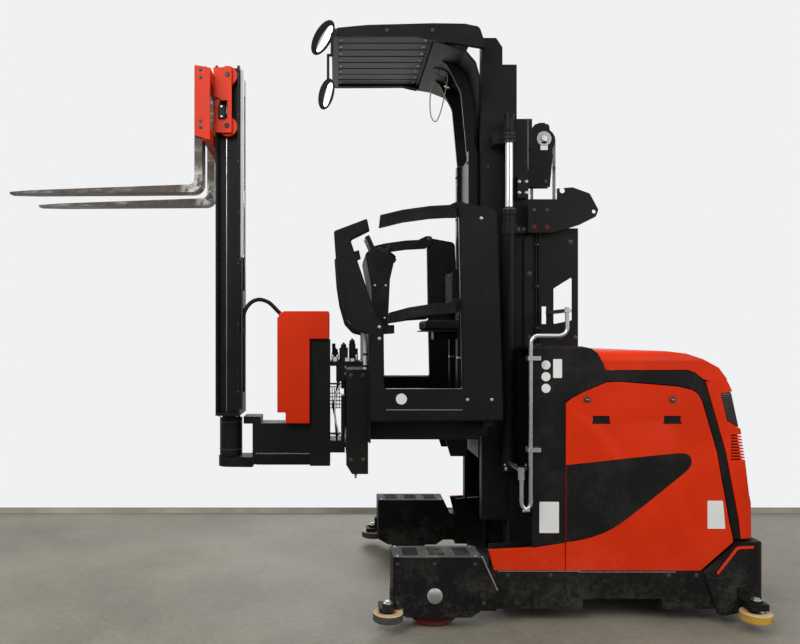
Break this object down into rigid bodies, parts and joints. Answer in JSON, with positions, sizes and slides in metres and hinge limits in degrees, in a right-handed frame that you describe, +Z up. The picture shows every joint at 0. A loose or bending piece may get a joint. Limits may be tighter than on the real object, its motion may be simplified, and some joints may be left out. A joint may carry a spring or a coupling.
{
  "type": "man-up order picker truck",
  "caption": "Very narrow aisle order picker truck with a rising cab, a two-stage mast and a traversing, swivelling fork head.",
  "frame": {"origin": "on the floor below the middle of the truck's bounding box", "axes": "+Z up, forks point to -X, +X to the rear, +Y to the truck's right side"},
  "size_m": [4.6352, 1.88, 3.6118],
  "materials": {
    "charcoal_paint": "satin charcoal powder coat",
    "black_paint": "satin black paint",
    "black_plastic": "moulded black plastic",
    "red_paint": "gloss orange-red paint",
    "grey_cast": "dull grey",
    "dark_iron": "worn dark steel",
    "chrome": "polished",
    "bright_steel": "zinc plated",
    "chain_steel": "oiled steel",
    "tyre_red": "dark red polyurethane tread",
    "tyre_black": "black tread",
    "tyre_cream": "cream polyurethane",
    "dark_glass": "smoked lens",
    "hose_rubber": "black rubber",
    "seat_fabric": "black upholstery",
    "rope": "braided tan rope"
  },
  "bodies": {
    "chassis": {"base_frame": "black_paint", "bulkhead": "black_paint", "load_arms": "black_paint", "arm_covers": "black_paint", "load_axles": "bright_steel", "guide_brackets": "black_paint", "rear_bumpers": "black_paint", "sill_fairings": "red_paint", "side_trim": "black_plastic", "hood": "red_paint", "rear_cover": "red_paint", "rear_lamps": "dark_glass", "battery": "grey_cast", "outer_mast": "charcoal_paint", "mast_support": "charcoal_paint", "lift_barrels": "charcoal_paint", "steel_pipe": "bright_steel", "chain_pulley": "black_paint", "lift_chain": "chain_steel"},
    "door_left": {"door_left": "red_paint"},
    "door_right": {"door_right": "red_paint"},
    "load_wheel_left": {"load_wheel_left": "tyre_red"},
    "load_wheel_right": {"load_wheel_right": "tyre_red"},
    "drive_unit": {"drive_unit": "grey_cast"},
    "drive_wheel": {"drive_wheel": "tyre_black"},
    "guide_front_left": {"guide_front_left": "tyre_cream"},
    "guide_front_right": {"guide_front_right": "tyre_cream"},
    "guide_rear_left": {"guide_rear_left": "tyre_cream"},
    "guide_rear_right": {"guide_rear_right": "tyre_cream"},
    "inner_mast": {"inner_mast": "charcoal_paint", "lift_rods": "chrome"},
    "cab": {"mast_carriage": "charcoal_paint", "cab_floor": "charcoal_paint", "cab_side_left": "charcoal_paint", "cab_side_right": "charcoal_paint", "cab_front_wall": "charcoal_paint", "cab_tower": "charcoal_paint", "guard_roof": "charcoal_paint", "guard_vault": "charcoal_paint", "guard_lamp": "black_plastic", "console": "black_plastic", "seat": "seat_fabric", "mirrors": "black_plastic", "traverse_frame": "charcoal_paint", "rope_loop": "rope"},
    "gate_upper_left": {"gate_upper_left": "charcoal_paint"},
    "gate_lower_left": {"gate_lower_left": "charcoal_paint"},
    "gate_upper_right": {"gate_upper_right": "charcoal_paint"},
    "gate_lower_right": {"gate_lower_right": "charcoal_paint"},
    "head": {"head_frame": "charcoal_paint", "motor_cover": "red_paint", "swivel_hose": "hose_rubber"},
    "swivel_mast": {"swivel_base": "charcoal_paint", "aux_mast": "charcoal_paint", "aux_cylinder": "bright_steel"},
    "fork_head": {"fork_carriage": "red_paint", "forks": "dark_iron"}
  },
  "joints": [
    {"name": "load_wheel_left_roll", "type": "hinge", "parent": "chassis", "child": "load_wheel_left", "pos_m": [0.362, -0.7205, 0.19], "axis": [0, 1, 0], "continuous": true},
    {"name": "load_wheel_right_roll", "type": "hinge", "parent": "chassis", "child": "load_wheel_right", "pos_m": [0.362, 0.7205, 0.19], "axis": [0, 1, 0], "continuous": true},
    {"name": "steer", "type": "hinge", "parent": "chassis", "child": "drive_unit", "pos_m": [1.93, 0, 0.2], "axis": [0, 0, 1], "range_deg": [-90, 90]},
    {"name": "drive_wheel_roll", "type": "hinge", "parent": "drive_unit", "child": "drive_wheel", "pos_m": [1.93, 0, 0.2], "axis": [0, 1, 0], "continuous": true},
    {"name": "guide_front_left_spin", "type": "hinge", "parent": "chassis", "child": "guide_front_left", "pos_m": [0.094, -0.855, 0.087], "axis": [0, 0, 1], "continuous": true},
    {"name": "guide_front_right_spin", "type": "hinge", "parent": "chassis", "child": "guide_front_right", "pos_m": [0.094, 0.855, 0.087], "axis": [0, 0, 1], "continuous": true},
    {"name": "guide_rear_left_spin", "type": "hinge", "parent": "chassis", "child": "guide_rear_left", "pos_m": [2.173, -0.855, 0.087], "axis": [0, 0, 1], "continuous": true},
    {"name": "guide_rear_right_spin", "type": "hinge", "parent": "chassis", "child": "guide_rear_right", "pos_m": [2.173, 0.855, 0.087], "axis": [0, 0, 1], "continuous": true},
    {"name": "door_left_tilt", "type": "hinge", "parent": "chassis", "child": "door_left", "pos_m": [1.6, -0.725, 0.3003], "axis": [1, 0, 0], "range_deg": [0, 60]},
    {"name": "door_right_tilt", "type": "hinge", "parent": "chassis", "child": "door_right", "pos_m": [1.6, 0.725, 0.3003], "axis": [-1, 0, 0], "range_deg": [0, 60]},
    {"name": "mast_lift", "type": "slide", "parent": "chassis", "child": "inner_mast", "axis": [0, 0, 1], "range_m": [-0.35, 1.1]},
    {"name": "cab_lift", "type": "slide", "parent": "inner_mast", "child": "cab", "axis": [0, 0, 1], "range_m": [-0.35, 1.1]},
    {"name": "gate_left_swing", "type": "hinge", "parent": "cab", "child": "gate_upper_left", "pos_m": [0.53, -0.74, 2.431], "axis": [0, 1, 0], "range_deg": [0, 75]},
    {"name": "gate_left_lower_swing", "type": "hinge", "parent": "cab", "child": "gate_lower_left", "pos_m": [0.53, -0.74, 1.865], "axis": [0, 1, 0], "range_deg": [0, 75]},
    {"name": "gate_right_swing", "type": "hinge", "parent": "cab", "child": "gate_upper_right", "pos_m": [0.53, 0.74, 2.431], "axis": [0, 1, 0], "range_deg": [0, 75]},
    {"name": "gate_right_lower_swing", "type": "hinge", "parent": "cab", "child": "gate_lower_right", "pos_m": [0.53, 0.74, 1.865], "axis": [0, 1, 0], "range_deg": [0, 75]},
    {"name": "traverse", "type": "slide", "parent": "cab", "child": "head", "axis": [0, 1, 0], "range_m": [-0.45, 0.45]},
    {"name": "swivel", "type": "hinge", "parent": "head", "child": "swivel_mast", "pos_m": [-0.9173, 0, 1], "axis": [0, 0, 1], "range_deg": [-90, 90], "deforming": ["swivel_hose"]},
    {"name": "fork_lift", "type": "slide", "parent": "swivel_mast", "child": "fork_head", "axis": [0, 0, 1], "range_m": [-1.78, 0.02]}
  ],
  "couplings": [
    {"joint": "cab_lift", "follows": "mast_lift", "ratio": 1},
    {"joint": "gate_left_lower_swing", "follows": "gate_left_swing", "ratio": 1},
    {"joint": "gate_right_lower_swing", "follows": "gate_right_swing", "ratio": 1}
  ]
}
